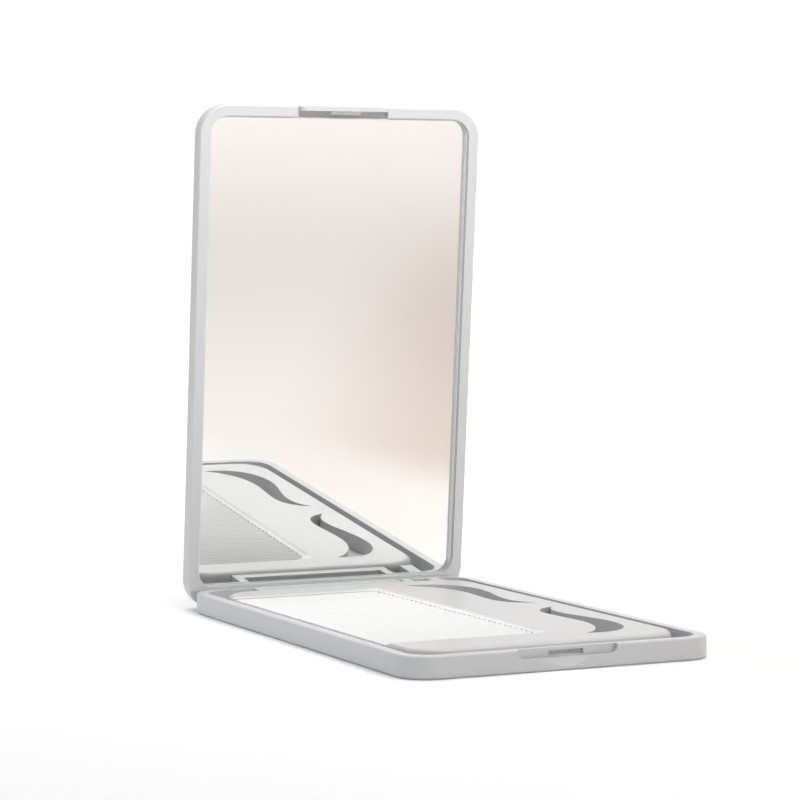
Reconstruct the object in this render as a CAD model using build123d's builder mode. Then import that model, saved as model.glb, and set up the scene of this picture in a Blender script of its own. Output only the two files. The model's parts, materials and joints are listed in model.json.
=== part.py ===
"""Slim folding compact: a shallow tray with a flat comb, and a mirror lid hinged along its rear edge.

The origin is the centre of the tray's underside. X runs along the hinge, +Y points from the latch
to the hinge, and +Z is up. Sizes are in millimetres. The lid stands open. It is drawn as if it were
shut, on planes that turn with it about the hinge.
"""

import os
from math import hypot, sqrt

from build123d import *

os.makedirs("parts", exist_ok=True)

# ---------------------------------------------------------------- driving dimensions
# Outline that the tray and the lid share
WIDTH = 62.0
LENGTH = 102.0
CORNER_RADIUS = 6.0
RIM = 2.15                  # wall round the tray, and frame round the mirror
PARTING_GAP = 0.1           # between the two rims when shut

# Tray
TRAY_HEIGHT = 4.1
TRAY_FLOOR = 1.0
REAR_WALL = 2.15
REAR_EDGE_ROUND = 0.6       # on the rear wall's top edge, which the lid turns round
TRAY_INNER_RADIUS = 4.5
UNDERSIDE_BEVEL = 0.35
RIM_BEVEL = 0.2

# Hinge: one steel pin through the lid's knuckle, the tray's cheeks and a rib
OPEN_ANGLE = 85.2
PIN_DIAMETER = 1.0
PIN_RUNNING_CLEARANCE = 0.05
PIN_END_INSET = 0.3         # the pin's end lies below the tray's side face
KNUCKLE_LENGTH = 31.0
KNUCKLE_SIDE_GAP = 0.15
KNUCKLE_UNDER_GAP = 0.15
BAY_GAP = 0.95              # from the knuckle to the wall in front of it
BAY_WALL = 2.1
CHEEK = 1.85
RIB_WIDTH = 2.8
RIB_AHEAD = 0.3             # the rib stands this far in front of the bay's wall
RIB_TO_SIDE_WALL = 4.7

# Latch: a tongue with a hook on the lid, a notch with a slot in the tray
NOTCH_WIDTH = 20.0
NOTCH_DROP = 1.7
NOTCH_DEPTH = 1.0
NOTCH_CORNER = 1.3
SLOT_WIDTH = 7.0
SLOT_DROP = 0.5
SLOT_HEIGHT = 0.9
SCOOP_WIDTH = 9.0
SCOOP_DROP = 1.7
SCOOP_DEPTH = 0.8
TONGUE_GAP = 0.15
TONGUE_CORNER = 1.1
HOOK_SIDE_GAP = 0.2
HOOK_HEIGHT = 0.5
HOOK_REACH = 0.7
TONGUE_POCKET_DEPTH = 1.1

# Lid and mirror
LID_BACK = 1.1
ADHESIVE_THICKNESS = 0.5
GLASS_THICKNESS = 1.5
MIRROR_RECESS = 0.5
MIRROR_CORNER = 4.0
MIRROR_LIP = 0.35           # between the mirror's pocket and the trough over the hinge
GLASS_SIDE_GAP = 0.1
ADHESIVE_MARGIN = 1.5
LID_BACK_ROUND = 0.8

# Comb: it lies loose in the tray, with these gaps round it
COMB_LEFT_GAP = 0.95
COMB_RIGHT_GAP = 1.95
COMB_FRONT_GAP = 2.25
COMB_REAR_GAP = 0.4         # to the wall of the hinge bay
COMB_CORNER = 7.5
COMB_ABOVE_RIM = 0.4
COMB_FLOOR_GAP = 0.05
COMB_TOP_ROUND = 1.2
COMB_BOTTOM_BEVEL = 0.35
TOOTH_PITCH = 2.07
TOOTH_GAP_TOP = 1.15
TOOTH_GAP_BOTTOM = 0.6
TOOTH_SHOULDER = 0.3        # bevel on each long edge of a tooth's top
TOOTH_LENGTH = 31.3
FRONT_BAR = 12.0            # least width of the comb in front of the first gap
REAR_BAR = 8.0              # and behind the last one
TOOTH_ZONE_CORNER = 3.0
TOOTH_TIP_LENGTH = 1.6
TOOTH_TIP_WIDTH = 0.35
PAN_DEPTH = 0.4             # the teeth lie this far under the comb's top
PAN_SLOPE = 1.4

# Finger slot of the comb, as (distance from the comb's right edge, distance from its middle line).
# The two edges run from the hook's tip to the tail.
SLOT_INNER_EDGE = [(4.6, 3.2), (9.9, 8.0), (10.4, 13.5), (9.8, 26.0), (13.9, 35.6), (16.9, 38.0)]
SLOT_OUTER_EDGE = [(4.6, 3.2), (7.2, 8.2), (5.9, 19.0), (5.1, 29.5), (6.8, 34.2), (16.9, 38.0)]

# ---------------------------------------------------------------- derived places
HINGE_Z = TRAY_HEIGHT / 2
HINGE_Y = LENGTH / 2 - TRAY_HEIGHT / 2
HINGE_REACH = LENGTH / 2 - HINGE_Y          # from the axis to the rear face and to the rim
LID_RIM_Z = TRAY_HEIGHT + PARTING_GAP
LID_THICKNESS = LID_BACK + ADHESIVE_THICKNESS + GLASS_THICKNESS + MIRROR_RECESS
KNUCKLE_RADIUS = HINGE_Z - KNUCKLE_UNDER_GAP
BAY_HALF = KNUCKLE_LENGTH / 2 + KNUCKLE_SIDE_GAP
BAY_FRONT = HINGE_Y - KNUCKLE_RADIUS - BAY_GAP
INNER_HALF = WIDTH / 2 - RIM
INNER_FRONT = RIM - LENGTH / 2
REAR_EDGE_REACH = sqrt(2) * (HINGE_REACH - REAR_EDGE_ROUND) + REAR_EDGE_ROUND
TROUGH_RADIUS = REAR_EDGE_REACH + PARTING_GAP
MIRROR_REAR = HINGE_Y - sqrt(TROUGH_RADIUS**2 - (LID_RIM_Z - HINGE_Z)**2) - MIRROR_LIP
BAY_WALL_FRONT = BAY_FRONT - BAY_WALL
RIB_CENTRE = INNER_HALF - RIB_TO_SIDE_WALL - RIB_WIDTH / 2
COMB_LEFT = COMB_LEFT_GAP - INNER_HALF
COMB_RIGHT = INNER_HALF - COMB_RIGHT_GAP
COMB_FRONT = INNER_FRONT + COMB_FRONT_GAP
COMB_REAR = BAY_WALL_FRONT - COMB_REAR_GAP
COMB_BOTTOM = TRAY_FLOOR + COMB_FLOOR_GAP
COMB_TOP = TRAY_HEIGHT + COMB_ABOVE_RIM

hinge_turn = Pos(0, HINGE_Y, HINGE_Z) * Rot(X=-OPEN_ANGLE) * Pos(0, -HINGE_Y, -HINGE_Z)


def lid_plane(closed_plane):
    """The plane that the open lid brings this plane of the shut lid to."""
    return Plane(hinge_turn * closed_plane.location)


def lid_level(height):
    """Level plane of the shut lid at this height, turned open."""
    return lid_plane(Plane.XY.offset(height))


def lid_section(x):
    """Upright plane across the hinge at x, turned open: its axes are Y and Z of the shut lid."""
    return lid_plane(Plane(origin=(x, 0, 0), x_dir=(0, 1, 0), z_dir=(1, 0, 0)))


# ---------------------------------------------------------------- tray
# The scoop's sphere meets the front face in a circle through the scoop's ends and its lowest point.
scoop_top = TRAY_HEIGHT - NOTCH_DROP
scoop_circle = ((SCOOP_WIDTH / 2) ** 2 + SCOOP_DROP**2) / (2 * SCOOP_DROP)
scoop_centre_z = scoop_top - SCOOP_DROP + scoop_circle
chord_level = scoop_circle**2 - (scoop_circle - SCOOP_DROP) ** 2
scoop_offset = (chord_level - SCOOP_DEPTH**2) / (2 * SCOOP_DEPTH)
scoop_sphere = hypot(scoop_offset, scoop_circle)

with BuildPart() as scoop:
    with Locations((0, -LENGTH / 2 - scoop_offset, scoop_centre_z)):
        Sphere(scoop_sphere)
    split(bisect_by=Plane.XY.offset(scoop_top), keep=Keep.BOTTOM)

with BuildPart() as base_tray:
    with BuildSketch():
        RectangleRounded(WIDTH, LENGTH, CORNER_RADIUS)
    extrude(amount=TRAY_HEIGHT)
    chamfer(base_tray.faces().sort_by(Axis.Z)[0].edges(), UNDERSIDE_BEVEL)
    chamfer(base_tray.faces().sort_by(Axis.Z)[-1].edges(), RIM_BEVEL)

    # Rear edge rounded, so that the lid's trough can turn past it
    with BuildSketch(Plane.YZ):
        with Locations((LENGTH / 2 - REAR_EDGE_ROUND, TRAY_HEIGHT - REAR_EDGE_ROUND)):
            Rectangle(2 * REAR_EDGE_ROUND, 2 * REAR_EDGE_ROUND, align=(Align.MIN, Align.MIN))
            Circle(REAR_EDGE_ROUND, mode=Mode.SUBTRACT)
    extrude(amount=WIDTH / 2, both=True, mode=Mode.SUBTRACT)

    # Hollow for the comb, with the hinge bay's walls and the rib left standing in it
    hollow_length = LENGTH - RIM - REAR_WALL
    with BuildSketch(Plane.XY.offset(TRAY_FLOOR)):
        with Locations((0, INNER_FRONT + hollow_length / 2)):
            RectangleRounded(2 * INNER_HALF, hollow_length, TRAY_INNER_RADIUS)
        bay_wall_length = LENGTH / 2 - BAY_WALL_FRONT
        with Locations((0, LENGTH / 2 - bay_wall_length / 2)):
            Rectangle(2 * (BAY_HALF + CHEEK), bay_wall_length, mode=Mode.SUBTRACT)
        rib_length = bay_wall_length + RIB_AHEAD
        with Locations((RIB_CENTRE, LENGTH / 2 - rib_length / 2)):
            Rectangle(RIB_WIDTH, rib_length, mode=Mode.SUBTRACT)
    extrude(amount=TRAY_HEIGHT - TRAY_FLOOR, mode=Mode.SUBTRACT)

    # Bay that the lid's knuckle turns in, open to the rear and through the floor
    bay_depth = LENGTH / 2 - BAY_FRONT
    with BuildSketch():
        with Locations((0, LENGTH / 2 - bay_depth / 2)):
            Rectangle(2 * BAY_HALF, bay_depth)
    extrude(amount=TRAY_HEIGHT, mode=Mode.SUBTRACT)

    # Bore for the pin, blind in the left cheek and open through the right side wall
    bore_start = -BAY_HALF - CHEEK + PIN_END_INSET
    with BuildSketch(Plane(origin=(bore_start, HINGE_Y, HINGE_Z), x_dir=(0, 1, 0), z_dir=(1, 0, 0))):
        Circle(PIN_DIAMETER / 2)
    extrude(amount=WIDTH / 2 - bore_start, mode=Mode.SUBTRACT)

    # Notch for the lid's tongue, the slot for its hook, and the scoop for a thumb
    notch_plane = Plane(origin=(0, -LENGTH / 2, TRAY_HEIGHT), x_dir=(1, 0, 0), z_dir=(0, -1, 0))
    with BuildSketch(notch_plane):
        Rectangle(NOTCH_WIDTH, 2 * NOTCH_DROP)
        fillet(vertices().group_by(Axis.Y)[0], NOTCH_CORNER)
    extrude(amount=-NOTCH_DEPTH, mode=Mode.SUBTRACT)
    with BuildSketch(notch_plane):
        with Locations((0, -SLOT_DROP - SLOT_HEIGHT / 2)):
            Rectangle(SLOT_WIDTH, SLOT_HEIGHT)
    extrude(amount=-RIM, mode=Mode.SUBTRACT)
    add(scoop.part, mode=Mode.SUBTRACT)
base_tray.part.label = "base_tray"

# ---------------------------------------------------------------- hinge pin
pin_start = bore_start
pin_end = WIDTH / 2 - PIN_END_INSET
with BuildPart() as hinge_pin:
    with BuildSketch(Plane(origin=(pin_start, HINGE_Y, HINGE_Z), x_dir=(0, 1, 0), z_dir=(1, 0, 0))):
        Circle(PIN_DIAMETER / 2)
    extrude(amount=pin_end - pin_start)
    chamfer(hinge_pin.edges().filter_by(GeomType.CIRCLE), PIN_DIAMETER / 8)
hinge_pin.part.label = "hinge_pin"

# ---------------------------------------------------------------- lid
mirror_length = MIRROR_REAR - INNER_FRONT
mirror_middle = (0, (MIRROR_REAR + INNER_FRONT) / 2)
tongue_drop = NOTCH_DROP + PARTING_GAP - TONGUE_GAP
tongue_thickness = NOTCH_DEPTH - TONGUE_GAP
tongue_width = NOTCH_WIDTH - 2 * TONGUE_GAP
hook_z = TRAY_HEIGHT - SLOT_DROP - SLOT_HEIGHT / 2
lid_up = Axis((0, 0, 0), lid_level(0).z_dir)

with BuildPart() as lid_shell:
    with BuildSketch(lid_level(LID_RIM_Z)):
        RectangleRounded(WIDTH, LENGTH, CORNER_RADIUS)
    extrude(amount=LID_THICKNESS)
    fillet(lid_shell.faces().sort_by(lid_up)[-1].edges(), LID_BACK_ROUND)
    chamfer(lid_shell.faces().sort_by(lid_up)[0].edges(), RIM_BEVEL)

    # Trough about the hinge axis, which clears the tray's rear edge while the lid turns
    with BuildSketch(lid_section(0)):
        with Locations((HINGE_Y, HINGE_Z)):
            Circle(TROUGH_RADIUS)
    extrude(amount=WIDTH / 2, both=True, mode=Mode.SUBTRACT)

    # Pocket for the mirror
    with BuildSketch(lid_level(LID_RIM_Z)):
        with Locations(mirror_middle):
            RectangleRounded(2 * INNER_HALF, mirror_length, MIRROR_CORNER)
    extrude(amount=LID_THICKNESS - LID_BACK, mode=Mode.SUBTRACT)

    # Knuckle: a barrel under a block that joins it to the lid
    with BuildSketch(lid_section(0)):
        with Locations((HINGE_Y, HINGE_Z)):
            Circle(KNUCKLE_RADIUS)
        block_depth = HINGE_REACH + KNUCKLE_RADIUS
        block_height = TROUGH_RADIUS + RIM_BEVEL
        with Locations((LENGTH / 2 - block_depth / 2, HINGE_Z + block_height / 2)):
            Rectangle(block_depth, block_height)
    extrude(amount=KNUCKLE_LENGTH / 2, both=True)
    with BuildSketch(lid_section(0)):
        with Locations((HINGE_Y, HINGE_Z)):
            Circle(PIN_DIAMETER / 2 + PIN_RUNNING_CLEARANCE)
    extrude(amount=KNUCKLE_LENGTH / 2, both=True, mode=Mode.SUBTRACT)

    # Tongue in the outer half of the front rim, free behind, with a hook on its inner side
    with BuildSketch(lid_level(LID_RIM_Z)):
        with Locations((0, INNER_FRONT - (RIM - NOTCH_DEPTH) / 2)):
            Rectangle(NOTCH_WIDTH, RIM - NOTCH_DEPTH)
    extrude(amount=TONGUE_POCKET_DEPTH, mode=Mode.SUBTRACT)
    tongue_face = Plane(origin=(0, -LENGTH / 2, LID_RIM_Z), x_dir=(1, 0, 0), z_dir=(0, -1, 0))
    with BuildSketch(lid_plane(tongue_face)):
        with Locations((0, -tongue_drop)):
            Rectangle(tongue_width, tongue_drop + TONGUE_POCKET_DEPTH, align=(Align.CENTER, Align.MIN))
        fillet(vertices().group_by(Axis.Y)[0], TONGUE_CORNER)
    extrude(amount=-tongue_thickness)
    with BuildSketch(lid_section(0)):
        hook_root = -LENGTH / 2 + tongue_thickness
        with BuildLine():
            hook_tip = hook_root + HOOK_REACH
            hook_top = hook_z + HOOK_HEIGHT / 2
            Polyline((hook_root, hook_z - HOOK_HEIGHT), (hook_tip, hook_z + HOOK_HEIGHT / 4),
                     (hook_tip, hook_top), (hook_root, hook_top), close=True)
        make_face()
    extrude(amount=SLOT_WIDTH / 2 - HOOK_SIDE_GAP, both=True)
lid_shell.part.label = "lid_shell"

# ---------------------------------------------------------------- mirror
with BuildPart() as mirror_glass:
    with BuildSketch(lid_level(LID_RIM_Z + MIRROR_RECESS)):
        with Locations(mirror_middle):
            RectangleRounded(2 * (INNER_HALF - GLASS_SIDE_GAP), mirror_length - 2 * GLASS_SIDE_GAP,
                             MIRROR_CORNER - GLASS_SIDE_GAP)
    extrude(amount=GLASS_THICKNESS)
mirror_glass.part.label = "mirror_glass"

with BuildPart() as mirror_adhesive:
    with BuildSketch(lid_level(LID_RIM_Z + MIRROR_RECESS + GLASS_THICKNESS)):
        with Locations(mirror_middle):
            RectangleRounded(2 * (INNER_HALF - ADHESIVE_MARGIN), mirror_length - 2 * ADHESIVE_MARGIN,
                             MIRROR_CORNER - ADHESIVE_MARGIN)
    extrude(amount=ADHESIVE_THICKNESS)
mirror_adhesive.part.label = "mirror_adhesive"

# ---------------------------------------------------------------- comb
comb_width = COMB_RIGHT - COMB_LEFT
comb_length = COMB_REAR - COMB_FRONT
comb_y = (COMB_REAR + COMB_FRONT) / 2
tooth_top_width = TOOTH_PITCH - TOOTH_GAP_TOP
zone_y = (COMB_FRONT + FRONT_BAR + COMB_REAR - REAR_BAR) / 2
tooth_gap_count = int((comb_length - FRONT_BAR - REAR_BAR + tooth_top_width) / TOOTH_PITCH)
zone_length = tooth_gap_count * TOOTH_PITCH - tooth_top_width
zone_right = COMB_LEFT + TOOTH_LENGTH
zone_width = TOOTH_LENGTH + TOOTH_ZONE_CORNER + PAN_SLOPE       # runs past the comb's open side
teeth_top = COMB_TOP - PAN_DEPTH


def zone_outline(growth):
    """Sketch the outline of the tooth zone, this much wider all round."""
    with Locations((zone_right - zone_width / 2, zone_y)):
        RectangleRounded(zone_width + 2 * growth, zone_length + 2 * growth, TOOTH_ZONE_CORNER + growth)


with BuildPart() as tooth_gaps:
    # One wedge between two teeth, flared at the top, repeated along the comb
    gap_height = teeth_top - COMB_BOTTOM
    neck = TOOTH_GAP_TOP / 2
    mouth = TOOTH_GAP_TOP / 2 + TOOTH_SHOULDER
    neck_height = gap_height - TOOTH_SHOULDER
    zone_left = zone_right - zone_width
    gap_section = Plane(origin=(zone_left, zone_y, COMB_BOTTOM), x_dir=(0, 1, 0), z_dir=(1, 0, 0))
    with BuildSketch(gap_section):
        with GridLocations(TOOTH_PITCH, 0, tooth_gap_count, 1):
            Polygon((-TOOTH_GAP_BOTTOM / 2, 0), (TOOTH_GAP_BOTTOM / 2, 0), (neck, neck_height),
                    (mouth, gap_height), (-mouth, gap_height), (-neck, neck_height), align=None)
    extrude(amount=zone_width)
    with BuildSketch(Plane.XY.offset(COMB_BOTTOM)):
        zone_outline(0)
    extrude(amount=gap_height, mode=Mode.INTERSECT)

    # Flare between the tips, which points the teeth
    with BuildSketch(Plane.XY.offset(COMB_BOTTOM)):
        flare = (TOOTH_PITCH - TOOTH_TIP_WIDTH) / 2
        with Locations((COMB_LEFT, zone_y)):
            with GridLocations(0, TOOTH_PITCH, 1, tooth_gap_count):
                Polygon((TOOTH_TIP_LENGTH, -TOOTH_GAP_BOTTOM / 2), (TOOTH_TIP_LENGTH, TOOTH_GAP_BOTTOM / 2),
                        (0, flare), (0, -flare), align=None)
    extrude(amount=gap_height)

with BuildPart() as comb:
    with BuildSketch(Plane.XY.offset(COMB_BOTTOM)):
        with Locations((COMB_LEFT + comb_width / 2, comb_y)):
            RectangleRounded(comb_width, comb_length, COMB_CORNER)
    extrude(amount=COMB_TOP - COMB_BOTTOM)
    fillet(comb.faces().sort_by(Axis.Z)[-1].edges(), COMB_TOP_ROUND)
    chamfer(comb.faces().sort_by(Axis.Z)[0].edges(), COMB_BOTTOM_BEVEL)

    # Finger slots, one each side of the middle line
    for side in (1, -1):
        with BuildSketch(Plane.XY.offset(COMB_BOTTOM)):
            with BuildLine():
                Spline([(COMB_RIGHT - inset, comb_y + side * away) for inset, away in SLOT_INNER_EDGE])
                Spline([(COMB_RIGHT - inset, comb_y + side * away) for inset, away in SLOT_OUTER_EDGE])
            make_face()
        extrude(amount=COMB_TOP - COMB_BOTTOM, mode=Mode.SUBTRACT)

    # Shallow pan over the teeth, with sloping sides
    with BuildSketch(Plane.XY.offset(teeth_top)):
        zone_outline(0)
    with BuildSketch(Plane.XY.offset(COMB_TOP)):
        zone_outline(PAN_SLOPE)
    loft(mode=Mode.SUBTRACT)
    add(tooth_gaps.part, mode=Mode.SUBTRACT)
comb.part.label = "comb"

# ---------------------------------------------------------------- files
for piece in (base_tray, hinge_pin, lid_shell, mirror_glass, mirror_adhesive, comb):
    export_step(piece.part, f"parts/{piece.part.label}.step")
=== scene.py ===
# %% [markdown]
# # A folding compact with a comb and a mirror
#
# The real object is a slim white plastic case, about as large as a credit card. A loose comb lies in
# its tray, and the lid holds a mirror. The case and the comb come from the CAD model at their real
# size, so this notebook never moves them. It gives each piece its finish, makes the mirror and the
# hinge pin as surfaces of its own, and sets up a small white studio round them.
#
# Everything is in metres, with +X along the hinge, +Y from the latch to the hinge and +Z up.

# %% The model
import json
from math import cos, pi, radians, sin

import bpy
import numpy as np
from mathutils import Matrix, Vector


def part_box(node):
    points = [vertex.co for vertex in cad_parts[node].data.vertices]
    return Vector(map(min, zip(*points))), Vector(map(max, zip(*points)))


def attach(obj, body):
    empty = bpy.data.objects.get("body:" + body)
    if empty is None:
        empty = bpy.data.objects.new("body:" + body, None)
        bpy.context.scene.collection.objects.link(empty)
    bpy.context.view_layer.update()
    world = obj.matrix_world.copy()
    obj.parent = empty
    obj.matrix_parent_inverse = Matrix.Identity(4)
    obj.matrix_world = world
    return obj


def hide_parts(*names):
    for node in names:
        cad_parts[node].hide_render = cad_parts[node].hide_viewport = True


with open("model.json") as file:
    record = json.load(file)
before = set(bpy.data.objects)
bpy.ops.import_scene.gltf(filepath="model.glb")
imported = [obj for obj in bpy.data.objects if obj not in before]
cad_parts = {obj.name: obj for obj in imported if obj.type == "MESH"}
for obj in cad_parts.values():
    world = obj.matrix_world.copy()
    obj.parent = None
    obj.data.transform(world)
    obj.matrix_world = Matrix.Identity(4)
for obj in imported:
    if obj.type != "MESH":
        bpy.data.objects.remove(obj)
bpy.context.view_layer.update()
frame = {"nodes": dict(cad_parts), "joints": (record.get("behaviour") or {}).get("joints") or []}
MM = 0.001
print("pieces:", sorted(frame["nodes"]))

# %% [markdown]
# ## Camera
#
# A product picture of something this flat is taken from low down and from far away: a long lens keeps
# the tray's edges almost parallel. A camera can be aimed with a constraint, but writing its turn out of
# two angles, the turn to the right and the tilt down, says exactly where it looks. A camera looks along
# its own -Z axis, so a right angle about X first lays it level.

# %% Camera
CAMERA_PLACE = Vector((-248.2, -494.0, 78.1)) * MM
CAMERA_TURN = radians(25.92)
CAMERA_TILT = radians(3.454)
CAMERA_LENS = 130.97

camera_data = bpy.data.cameras.new("camera")
camera_data.lens = CAMERA_LENS
camera_data.sensor_width = 36.0
camera_data.clip_start = 0.01
camera_data.clip_end = 20.0
camera = bpy.data.objects.new("camera", camera_data)
camera.matrix_world = (
    Matrix.Translation(CAMERA_PLACE)
    @ Matrix.Rotation(-CAMERA_TURN, 4, "Z")
    @ Matrix.Rotation(radians(90) - CAMERA_TILT, 4, "X")
)
bpy.context.collection.objects.link(camera)
bpy.context.scene.camera = camera
print("camera at", [round(value / MM) for value in CAMERA_PLACE], "mm")

# %% [markdown]
# ## Nodes
#
# A material is a small graph of nodes. Making each node by hand takes five lines, so this helper makes
# one from its type and its settings. A setting that names an input socket goes to that socket: another
# node's output is linked to it, and a plain value is stored in it. The Mix node has sockets of the same
# name for numbers and for colours, so it gets a helper of its own.

# %% Nodes
def add_node(tree, kind, **settings):
    """Add a node of this kind. A setting fills the input socket of that name, with _ for a space."""
    node = tree.nodes.new(kind)
    for name, value in settings.items():
        socket = node.inputs.get(name.replace("_", " "))
        if socket is None:
            setattr(node, name, value)
        elif isinstance(value, bpy.types.NodeSocket):
            tree.links.new(value, socket)
        else:
            socket.default_value = value
    return node


def add_mix(tree, share, first, second):
    """Mix two colours by a share: each colour is a node's output or three plain values."""
    mix = add_node(tree, "ShaderNodeMix", data_type="RGBA")
    tree.links.new(share, mix.inputs[0])
    for socket, colour in ((mix.inputs[6], first), (mix.inputs[7], second)):
        if isinstance(colour, bpy.types.NodeSocket):
            tree.links.new(colour, socket)
        else:
            socket.default_value = (*colour, 1)
    return mix.outputs[2]


print("node helpers: add_node, add_mix")

# %% [markdown]
# ## Materials
#
# Each material is one surface shader. Its patterns come from noise on Object coordinates, so they stay
# with the piece when it moves. What is the same all over is set on the shader's own sockets. A second
# way would be to paint the patterns as pictures, but noise stays sharp from close by.

# %% Materials
def new_material(name):
    """An empty material: returns it, its node tree and the Object coordinates for its patterns."""
    material = bpy.data.materials.new(name)
    material.use_nodes = True
    tree = material.node_tree
    tree.nodes.clear()
    return material, tree, add_node(tree, "ShaderNodeTexCoord").outputs["Object"]


def add_surface(tree, **settings):
    """Add the surface shader and link it to the material's output."""
    shader = add_node(tree, "ShaderNodeBsdfPrincipled", **settings)
    add_node(tree, "ShaderNodeOutputMaterial", Surface=shader.outputs["BSDF"])


def set_material(material, *nodes):
    """Give the material to these CAD nodes."""
    for node in nodes:
        frame["nodes"][node].material_slots[0].material = material
    print(material.name, "on", *nodes)


print("material helpers: new_material, add_surface, set_material")

# %% [markdown]
# ## Moulded plastic
#
# The case and the comb are injection moulded. The steel mould is sparked to a fine satin, and the
# plastic copies it: up close the surface has a grain of about a tenth of a millimetre, and it scatters
# a highlight over a wide soft patch. A wider, very faint mottle comes from the way the plastic flowed.
# The grain could be real bumps in the mesh, but a Bump node only bends the light and costs nothing.

# %% Moulded plastic
GRAIN_SIZE = 0.12 * MM
GRAIN_HEIGHT = 0.002 * MM
MOTTLE_SIZE = 14.0 * MM
PLASTIC_IOR = 1.5
POLISH_SPREAD = 0.03
CASE_DARK, CASE_LIGHT = (0.541, 0.548, 0.555), (0.552, 0.559, 0.566)
CASE_ROUGHNESS = 0.38


def spread(tree, noise, low, high):
    """Stretch a noise's 0 to 1 over low to high."""
    return add_node(tree, "ShaderNodeMapRange", Value=noise, To_Min=low, To_Max=high).outputs["Result"]


def satin_plastic(name, dark, light, roughness, recolour=None):
    """White satin plastic: colour between dark and light by a wide mottle, fine grain as bump. Where
    recolour is given, it changes the colour by place."""
    material, tree, place = new_material(name)
    mottle = add_node(tree, "ShaderNodeTexNoise", Vector=place, Scale=1 / MOTTLE_SIZE, Detail=3.0)
    grain = add_node(tree, "ShaderNodeTexNoise", Vector=place, Scale=1 / GRAIN_SIZE, Detail=2.0)
    colour = add_mix(tree, mottle.outputs["Fac"], dark, light)
    if recolour:
        colour = recolour(tree, place, colour)
    polish = spread(tree, mottle.outputs["Fac"], roughness - POLISH_SPREAD, roughness + POLISH_SPREAD)
    bump = add_node(
        tree, "ShaderNodeBump", Height=grain.outputs["Fac"], Strength=1.0, Distance=GRAIN_HEIGHT)
    add_surface(
        tree, Base_Color=colour, Roughness=polish, IOR=PLASTIC_IOR, Normal=bump.outputs["Normal"])
    return material


case_plastic = satin_plastic("case_plastic_satin", CASE_DARK, CASE_LIGHT, CASE_ROUGHNESS)
set_material(case_plastic, "base_tray", "lid_shell")

# %% [markdown]
# ## Bright teeth
#
# The comb's teeth look whiter than the solid part. Their rounded shoulders catch highlights, and they
# are so thin that light comes in through their sides and goes out at the top. Real subsurface
# scattering would show the second, but it is slow and grainy on pieces this thin. Here both are painted
# light: the teeth are simply painted lighter, inside a box whose borders are soft steps.

# %% Bright teeth
COMB_DARK, COMB_LIGHT = (0.533, 0.533, 0.533), (0.544, 0.544, 0.544)
COMB_ROUGHNESS = 0.34
TEETH_X = (-28.0 * MM, 3.4 * MM)
TEETH_Y = (-34.2 * MM, 35.2 * MM)
TEETH_BLUR = 1.6 * MM
# Painted light: this lighter colour stands in for the teeth's highlights and the light through them.
PAINTED_TEETH_LIGHT = (0.75, 0.75, 0.75)


def add_product(tree, first, second):
    """Multiply two nodes' outputs. A Math node's sockets share one name, so they go by number."""
    product = add_node(tree, "ShaderNodeMath", operation="MULTIPLY")
    tree.links.new(first, product.inputs[0])
    tree.links.new(second, product.inputs[1])
    return product.outputs[0]


def soft_step(tree, value, low, high):
    """0 at low, 1 at high, and a smooth step between them. It falls if high is the lower one."""
    step = add_node(
        tree,
        "ShaderNodeMapRange",
        interpolation_type="SMOOTHSTEP",
        Value=value,
        From_Min=low,
        From_Max=high,
    )
    return step.outputs["Result"]


def inside(tree, value, low, high, blur):
    """1 where the value lies between low and high, 0 outside, with soft borders of width blur."""
    rising = soft_step(tree, value, low - blur, low)
    falling = soft_step(tree, value, high + blur, high)
    return add_product(tree, rising, falling)


def paint_light_on_teeth(tree, place, colour):
    """Inside the teeth's box, mix the colour over to the teeth's painted light."""
    axes = add_node(tree, "ShaderNodeSeparateXYZ", Vector=place).outputs
    along = inside(tree, axes["X"], *TEETH_X, TEETH_BLUR)
    across = inside(tree, axes["Y"], *TEETH_Y, TEETH_BLUR)
    return add_mix(tree, add_product(tree, along, across), colour, PAINTED_TEETH_LIGHT)


comb_plastic = satin_plastic(
    "comb_plastic_satin", COMB_DARK, COMB_LIGHT, COMB_ROUGHNESS, paint_light_on_teeth)
set_material(comb_plastic, "comb")

# %% [markdown]
# ## Steel wire
#
# The pin is a piece of drawn steel wire. Drawing leaves fine scratches along it. They could be a bump,
# but on a wire this thin only their change of gloss shows. So the noise that sets the roughness is
# stretched along X: few waves per metre that way, thousands across.

# %% Steel wire
STEEL_COLOUR = (0.56, 0.56, 0.57, 1)
STEEL_ROUGHNESS = (0.18, 0.36)
SCRATCH_SCALE = (60.0, 9000.0, 9000.0)


def drawn_steel(name):
    """Bright steel whose roughness follows scratches along X."""
    material, tree, place = new_material(name)
    stretched = add_node(tree, "ShaderNodeMapping", Vector=place, Scale=SCRATCH_SCALE)
    scratches = add_node(tree, "ShaderNodeTexNoise", Vector=stretched.outputs["Vector"], Scale=1.0)
    polish = spread(tree, scratches.outputs["Fac"], *STEEL_ROUGHNESS)
    add_surface(tree, Base_Color=STEEL_COLOUR, Metallic=1.0, Roughness=polish)
    return material


steel = drawn_steel("drawn_steel_wire")
set_material(steel, "hinge_pin")

# %% [markdown]
# ## Foam tape
#
# The mirror is held by double-sided foam tape. It is never seen, but the model can be opened up. Plain
# white would do there, and a fine mottle in the colour costs one node more and shows the open cells of
# such a foam.

# %% Foam tape
FOAM_DARK, FOAM_LIGHT = (0.60, 0.60, 0.57), (0.68, 0.68, 0.66)
FOAM_ROUGHNESS = 0.55
FOAM_SCALE = 900.0


def foam_tape(name):
    """White foam with a fine mottle in its colour."""
    material, tree, place = new_material(name)
    cells = add_node(tree, "ShaderNodeTexNoise", Vector=place, Scale=FOAM_SCALE, Detail=4.0)
    colour = add_mix(tree, cells.outputs["Fac"], FOAM_DARK, FOAM_LIGHT)
    add_surface(tree, Base_Color=colour, Roughness=FOAM_ROUGHNESS)
    return material


set_material(foam_tape("foam_tape"), "mirror_adhesive")

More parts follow.
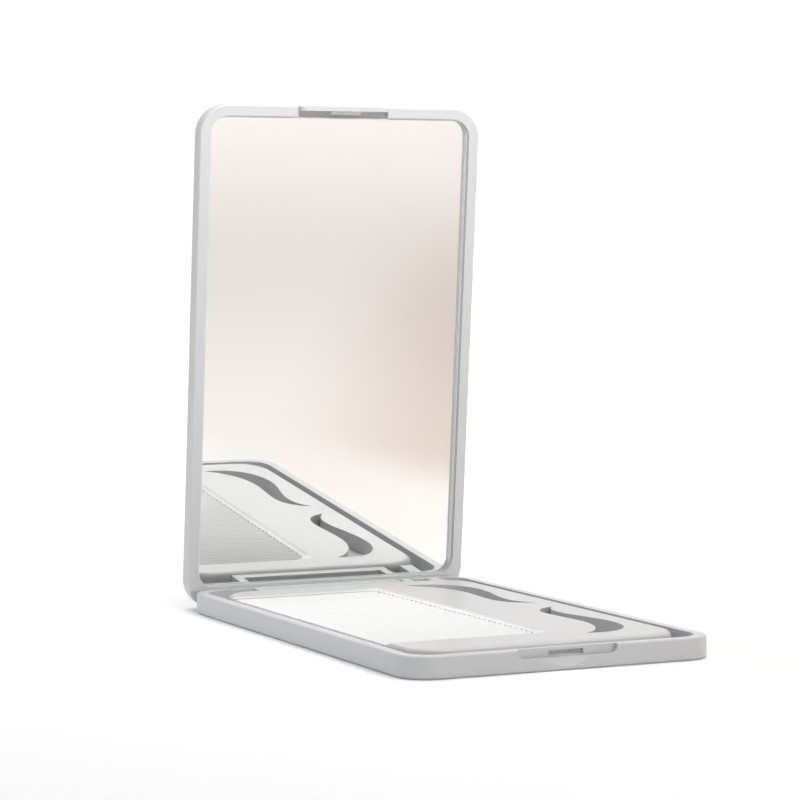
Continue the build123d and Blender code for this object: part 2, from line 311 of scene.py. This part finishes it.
# %% [markdown]
# ## Surfaces
#
# The pin, the mirror and the studio's paper are all rings of points, one after the other, with a strip
# of faces between each ring and the next. For the pin and the paper the rings come from a profile that
# is turned about a line. The Screw modifier could turn it, but whole arrays keep the formula in one
# place, and the same helper then numbers the faces of all three.

# %% Surfaces
def turned_profile(along, radii, steps):
    """Turn a profile about a line. Each row is the place along the line, and then the radius times the
    cosine and times the sine of the turn."""
    turn = np.linspace(0, 2 * pi, steps, endpoint=False)
    columns = (
        np.repeat(along[:, None], steps, axis=1),
        radii[:, None] * np.cos(turn),
        radii[:, None] * np.sin(turn),
    )
    return np.stack(columns, axis=-1).reshape(-1, 3)


def strips(rings, around):
    """Join each ring to the next one: a point, its neighbour, and the same two on the next ring."""
    here = np.arange(around)
    following = (here + 1) % around
    start = np.arange(rings - 1)[:, None] * around
    corners = (start + here, start + following, start + around + following, start + around + here)
    return np.stack(corners, axis=-1).reshape(-1, 4)


def end_faces(rings, around):
    """The first ring as one face that looks back, and the last ring as one that looks on."""
    here = np.arange(around)
    return [here[::-1].tolist(), (here + (rings - 1) * around).tolist()]


def add_object(name, points, faces, smooth_faces, *materials):
    """Make a mesh object at the origin. As many of its first faces as smooth_faces says are smooth."""
    mesh = bpy.data.meshes.new(name)
    mesh.from_pydata(points.tolist(), [], faces)
    mesh.polygons.foreach_set("use_smooth", np.arange(len(faces)) < smooth_faces)
    for material in materials:
        mesh.materials.append(material)
    thing = bpy.data.objects.new(name, mesh)
    bpy.context.collection.objects.link(thing)
    print(name, "has", len(points), "points and", len(faces), "faces")
    return thing


print("surface helpers: turned_profile, strips, end_faces, add_object")

# %% [markdown]
# ## Pin cut to length
#
# The pin goes in from the right, through the tray's rounded corner. There the wall curves away, so a
# pin as long as the tray is wide would stand out of it. The real one is cut off and pushed in until its
# end lies just below the surface, in its own hole. A plain cylinder would do for the wire, but cutting
# rounds its edges, and a turned profile has them at no cost.
#
# The wall's place along X is worked out at the pin's rear edge, where the corner's quarter circle has
# curved away most.

# %% Pin cut to length
CASE_CORNER = 6.0 * MM  # radius of the tray's corners, as in the CAD model
END_BELOW_WALL = 0.1 * MM
END_ROUND = 0.12 * MM
END_STEPS = 6
WIRE_STEPS = 48

pin_low, pin_high = (np.array(corner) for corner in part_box("hinge_pin"))
tray_high = np.array(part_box("base_tray")[1])
past_corner = pin_high[1] - (tray_high[1] - CASE_CORNER)
wall_x = tray_high[0] - CASE_CORNER + np.sqrt(CASE_CORNER**2 - past_corner**2)
wire_end = wall_x - END_BELOW_WALL
wire_radius = (pin_high[2] - pin_low[2]) / 2
wire_axis = np.array([0, *(pin_low + pin_high)[1:] / 2])

arc = np.linspace(0, pi / 2, END_STEPS)
end_radii = wire_radius - END_ROUND + END_ROUND * np.sin(arc)
end_depths = END_ROUND * (1 - np.cos(arc))
wire_along = np.concatenate([pin_low[0] + end_depths, (wire_end - end_depths)[::-1]])
wire_radii = np.concatenate([end_radii, end_radii[::-1]])
wire_strips = strips(len(wire_along), WIRE_STEPS).tolist()
pin_wire = add_object(
    "pin_wire",
    turned_profile(wire_along, wire_radii, WIRE_STEPS) + wire_axis,
    wire_strips + end_faces(len(wire_along), WIRE_STEPS),
    len(wire_strips),
    steel,
)
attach(pin_wire, "base")
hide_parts("hinge_pin")
print("pin wire, mm:", round((wire_end - pin_low[0]) / MM, 2), "by", round(2 * wire_radius / MM, 2))

# %% [markdown]
# ## Glass and silver
#
# The glass is clear with a trace of green, which iron gives to float glass, and the silver is a metal
# with no roughness at all. The plate's ground edge is white frost. Real glass carries light along to
# its edge. A renderer rarely finds that way, so the frost has a weak glow of its own.

# %% Glass and silver
GLASS_COLOUR = (0.985, 1.0, 0.99, 1)
GLASS_IOR = 1.52
FROST_DARK, FROST_LIGHT = (0.48, 0.50, 0.49), (0.56, 0.58, 0.57)
FROST_ROUGHNESS = 0.6
FROST_SCALE = 4000.0
GLOW_COLOUR = (0.95, 1.0, 0.98, 1)
EDGE_GLOW = 0.28
SILVER_COLOUR = (0.885, 0.885, 0.88, 1)


def clear_glass(name):
    """Float glass: full transmission, a trace of green."""
    material, tree, _ = new_material(name)
    add_surface(tree, Base_Color=GLASS_COLOUR, Roughness=0.0, IOR=GLASS_IOR, Transmission_Weight=1.0)
    return material


def ground_glass(name):
    """The ground edge: white frost, and the glow of the light that the glass carries to it."""
    material, tree, place = new_material(name)
    frost = add_node(tree, "ShaderNodeTexNoise", Vector=place, Scale=FROST_SCALE, Detail=2.0)
    add_surface(
        tree,
        Base_Color=add_mix(tree, frost.outputs["Fac"], FROST_DARK, FROST_LIGHT),
        Roughness=FROST_ROUGHNESS,
        Emission_Color=GLOW_COLOUR,
        Emission_Strength=EDGE_GLOW,
    )
    return material


def silver(name):
    """The silver coat on the back of the plate."""
    material, tree, _ = new_material(name)
    add_surface(tree, Base_Color=SILVER_COLOUR, Metallic=1.0, Roughness=0.0)
    return material


mirror_materials = (
    clear_glass("mirror_face"), ground_glass("mirror_ground_edge"), silver("mirror_silver"))
print("mirror materials:", [material.name for material in mirror_materials])

# %% [markdown]
# ## Mirror size
#
# The mirror could be measured where it stands, but the lid leans. It is worked out as if the lid were
# shut, where it lies flat, and is then turned open with the lid. The turn and its angle come from the
# model's hinge. The plate stops just short of the foam tape, since two faces in one place would fight
# for each pixel.

# %% Mirror size
SILVER_GAP = 0.02 * MM

hinge = next(joint for joint in frame["joints"] if joint["name"] == "lid_hinge")
hinge_place = np.array(hinge["pos_m"])
open_angle = radians(-hinge["range_deg"][0])


def turn_about_hinge(points, angle):
    """Turn points about the hinge's X axis: (y, z) go through a plain rotation round the pin."""
    arm = points - hinge_place
    y = arm[:, 1] * cos(angle) - arm[:, 2] * sin(angle)
    z = arm[:, 1] * sin(angle) + arm[:, 2] * cos(angle)
    return np.column_stack([arm[:, 0], y, z]) + hinge_place


glass_mesh = frame["nodes"]["mirror_glass"].data
glass_points = np.zeros(len(glass_mesh.vertices) * 3)
glass_mesh.vertices.foreach_get("co", glass_points)
shut_points = turn_about_hinge(glass_points.reshape(-1, 3), open_angle)
glass_low = shut_points.min(axis=0)
glass_high = shut_points.max(axis=0) - (0, 0, SILVER_GAP)
print("mirror plate, mm:", np.round((glass_high - glass_low) / MM, 2))

# %% [markdown]
# ## Mirror plate
#
# A cheap mirror is a plate of float glass, silvered on its back. That is why a thin line of clear glass
# shows round what it reflects. A single metal face would lose that line, so the plate is made as real
# glass with a metal face behind it.
#
# The plate is a surface of two parameters. One goes round a rectangle with rounded corners. The other
# goes through the thickness in four rings: the front's border, the two borders of the side, and the
# back's border. The front and the back are one face each.

# %% Mirror plate
MIRROR_CORNER = 3.2 * MM
GROUND_EDGE = 0.3 * MM
CORNER_STEPS = 24
GLASS_SLOT, GROUND_SLOT, SILVER_SLOT = range(len(mirror_materials))


def rounded_rectangle(half_x, half_y, radius, steps):
    """Points round a rectangle with rounded corners: four quarter circles, one after the other."""
    quarter = np.linspace(0, pi / 2, steps)
    corners = [(1, 1, 0), (-1, 1, pi / 2), (-1, -1, pi), (1, -1, 3 * pi / 2)]
    arcs = [
        np.column_stack([
            side_x * (half_x - radius) + radius * np.cos(quarter + start),
            side_y * (half_y - radius) + radius * np.sin(quarter + start),
        ])
        for side_x, side_y, start in corners
    ]
    return np.vstack(arcs)


half_x, half_y = (glass_high - glass_low)[:2] / 2
plate_middle = (glass_high + glass_low)[:2] / 2
front, back = glass_low[2], glass_high[2]
rings = []
for inset, depth in (
    (GROUND_EDGE, front), (0, front + GROUND_EDGE), (0, back - GROUND_EDGE), (GROUND_EDGE, back)
):
    ring = rounded_rectangle(half_x - inset, half_y - inset, MIRROR_CORNER - inset, CORNER_STEPS)
    rings.append(np.column_stack([ring + plate_middle, np.full(len(ring), depth)]))

around_plate = len(rings[0])
plate_points = turn_about_hinge(np.vstack(rings), -open_angle)
plate_faces = strips(len(rings), around_plate).tolist() + end_faces(len(rings), around_plate)
mirror_plate = add_object("mirror_plate", plate_points, plate_faces, 0, *mirror_materials)
face_slots = np.full(len(plate_faces), GROUND_SLOT, dtype=np.int32)
face_slots[-2:] = GLASS_SLOT, SILVER_SLOT
mirror_plate.data.polygons.foreach_set("material_index", face_slots)
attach(mirror_plate, "lid")
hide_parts("mirror_glass")

# %% [markdown]
# ## Studio paper
#
# The compact lies on paper. Paper that is only white would leave the mirror empty, so out in front,
# where only the mirror looks, it fades to a warm cream. Towards the right the cream darkens to a deeper
# cream: that darkening is painted shade, where the light falls off. The strip beside the tray is seen
# both by the camera and in the mirror. It is a warm white, bright enough to look white by itself, while
# the mirror, which swallows a tenth of the light, shows that it is warm. Sheets of different paper
# would need seams, and a fade in the colour needs none.
#
# The fades are soft steps along slanted lines over the floor: x less 0.68 y grows to the front right,
# and x plus 0.55 y to the rear right.

# %% Studio paper
WHITE_PAPER = (0.93, 0.93, 0.93)
WARM_WHITE = (0.89, 0.835, 0.81)
LIGHT_CREAM = (0.885, 0.83, 0.80)
# The deep cream is cream darkened by painted shade, where the light falls off to the right.
CREAM_PAINTED_SHADE = (0.725, 0.62, 0.575)
PAPER_ROUGHNESS = 0.9
PAPER_SHINE = 0.1
AHEAD_Y_SHARE, ASIDE_Y_SHARE = -0.68, 0.55
# Each fade is none at its first limit and full at its second one.
CREAM_AHEAD = (0.078, 0.135)
PAINTED_SHADE_ASIDE, PAINTED_SHADE_AHEAD = (-0.01, 0.055), (0.70, 0.25)
WARM_X, WARM_Y, WARM_AHEAD = (0.010, 0.040), (0.30, 0.10), (0.0, 0.035)


def add_slope(tree, axes, y_share):
    """x plus a share of y: a number that grows in a slanted direction over the floor."""
    slope = add_node(tree, "ShaderNodeMath", operation="MULTIPLY_ADD")
    tree.links.new(axes["Y"], slope.inputs[0])
    slope.inputs[1].default_value = y_share
    tree.links.new(axes["X"], slope.inputs[2])
    return slope.outputs[0]


def studio_paper(name):
    """Matt paper: white, warm white beside the tray, and out in front a cream that darkens to the right
    in painted shade.
    """
    material, tree, place = new_material(name)
    axes = add_node(tree, "ShaderNodeSeparateXYZ", Vector=place).outputs
    ahead = add_slope(tree, axes, AHEAD_Y_SHARE)
    aside = add_slope(tree, axes, ASIDE_Y_SHARE)
    # Painted shade: the cream darkens towards the right.
    painted_shade = add_product(
        tree, soft_step(tree, aside, *PAINTED_SHADE_ASIDE), soft_step(tree, ahead, *PAINTED_SHADE_AHEAD))
    beside = add_product(
        tree, soft_step(tree, axes["X"], *WARM_X), soft_step(tree, axes["Y"], *WARM_Y))
    warm = add_product(tree, beside, soft_step(tree, ahead, *WARM_AHEAD))
    near = add_mix(tree, warm, WHITE_PAPER, WARM_WHITE)
    cream = add_mix(tree, painted_shade, LIGHT_CREAM, CREAM_PAINTED_SHADE)
    colour = add_mix(tree, soft_step(tree, ahead, *CREAM_AHEAD), near, cream)
    add_surface(tree, Base_Color=colour, Roughness=PAPER_ROUGHNESS, Specular_IOR_Level=PAPER_SHINE)
    return material


bowl_paper = studio_paper("bowl_paper")
print("paper:", bowl_paper.name)

# %% [markdown]
# ## Paper bowl
#
# The studio is round: paper that is flat under the compact and curves up into a wall all round, so no
# horizon shows from any side. A flat floor with a separate wall would be simpler, but their corner
# would be seen over the low tray.
#
# The bowl is a profile turned about the Z axis: a flat disc, a quarter circle and an upright wall.

# %% Paper bowl
CENTRE_RADIUS = 0.001
DISC_RADIUS = 1.4
BEND_RADIUS = 0.8
WALL_TOP = 2.4
BEND_STEPS = 24
ROUND_STEPS = 128

bend = np.linspace(0, pi / 2, BEND_STEPS)
bend_radii = DISC_RADIUS + BEND_RADIUS * np.sin(bend)
bowl_radii = np.concatenate([[CENTRE_RADIUS], bend_radii, [DISC_RADIUS + BEND_RADIUS]])
bowl_heights = np.concatenate([[0.0], BEND_RADIUS * (1 - np.cos(bend)), [WALL_TOP]])
bowl_points = turned_profile(bowl_heights, bowl_radii, ROUND_STEPS)[:, [1, 2, 0]]
bowl_strips = strips(len(bowl_radii), ROUND_STEPS)[:, ::-1].tolist()
bowl_faces = bowl_strips + [list(range(ROUND_STEPS))]
paper_bowl = add_object("paper_bowl", bowl_points, bowl_faces, len(bowl_faces), bowl_paper)

# %% [markdown]
# ## Lights
#
# The light is soft and comes from white boxes, as lamps behind cloth would give it. Bare lamps would be
# simpler, but they draw hard shadows. Four boxes light the compact:
#
# - near_box hangs close above the tray. It reaches the comb and the lid's inner side but hardly the
#   tray's front wall, which stays a shade darker.
# - lid_box stands in front and is aimed upwards, so the lid gets its light and the tray only a little.
# - over_box hangs high above and lights the compact and the floor round it evenly.
# - left_box is a weak, slightly blue one for the walls that face left.
#
# The other four light the paper: low_front_box and front_paper_box the cream part that the mirror looks
# at, backdrop_box the wall behind, and left_paper_box the wall on the left. A weak white sky fills what
# is left.

# %% Lights
SKY_STRENGTH = 0.05
WHITE_LIGHT = (1.0, 1.0, 1.0)
BLUISH_LIGHT = (0.80, 0.91, 1.0)


def soft_box(name, place, target, width, height, power, colour=WHITE_LIGHT):
    """A rectangular area light at place that points at target, in metres and watts."""
    data = bpy.data.lights.new(name, "AREA")
    data.shape = "RECTANGLE"
    data.size = width
    data.size_y = height
    data.energy = power
    data.color = colour
    light = bpy.data.objects.new(name, data)
    aim = (Vector(target) - Vector(place)).to_track_quat("-Z", "Y")
    light.matrix_world = Matrix.Translation(Vector(place)) @ aim.to_matrix().to_4x4()
    bpy.context.collection.objects.link(light)
    print(name, "gives", power, "W")


world = bpy.data.worlds.new("white_sky")
world.use_nodes = True
sky = world.node_tree.nodes["Background"]
sky.inputs["Color"].default_value = (1.0, 1.0, 1.0, 1)
sky.inputs["Strength"].default_value = SKY_STRENGTH
bpy.context.scene.world = world
soft_box("near_box", (0.10, -0.05, 0.26), (0.04, 0.0, 0.0), 0.22, 0.16, 0.195)
soft_box("lid_box", (-0.03, -0.20, 0.25), (-0.03, 0.60, 0.77), 0.20, 0.12, 1.32)
soft_box("over_box", (0.1, 0.03, 0.9), (0.1, 0.0, 0.0), 0.7, 0.5, 3.65)
soft_box("left_box", (-0.6, -0.05, 0.35), (0.0, 0.0, 0.03), 0.5, 0.4, 0.65, BLUISH_LIGHT)
soft_box("low_front_box", (0.85, -1.9, 0.45), (0.0, 0.0, 0.0), 0.8, 0.6, 5.2)
soft_box("front_paper_box", (0.3, -0.8, 0.7), (0.35, -1.0, 0.0), 0.8, 0.5, 5.2)
soft_box("backdrop_box", (0.35, 0.55, 1.1), (0.5, 1.6, 0.2), 1.8, 0.5, 20.5)
soft_box("left_paper_box", (-0.6, 0.2, 1.2), (-2.0, 0.3, 0.9), 1.2, 0.5, 3.2)
bpy.context.scene.view_settings.view_transform = "Standard"
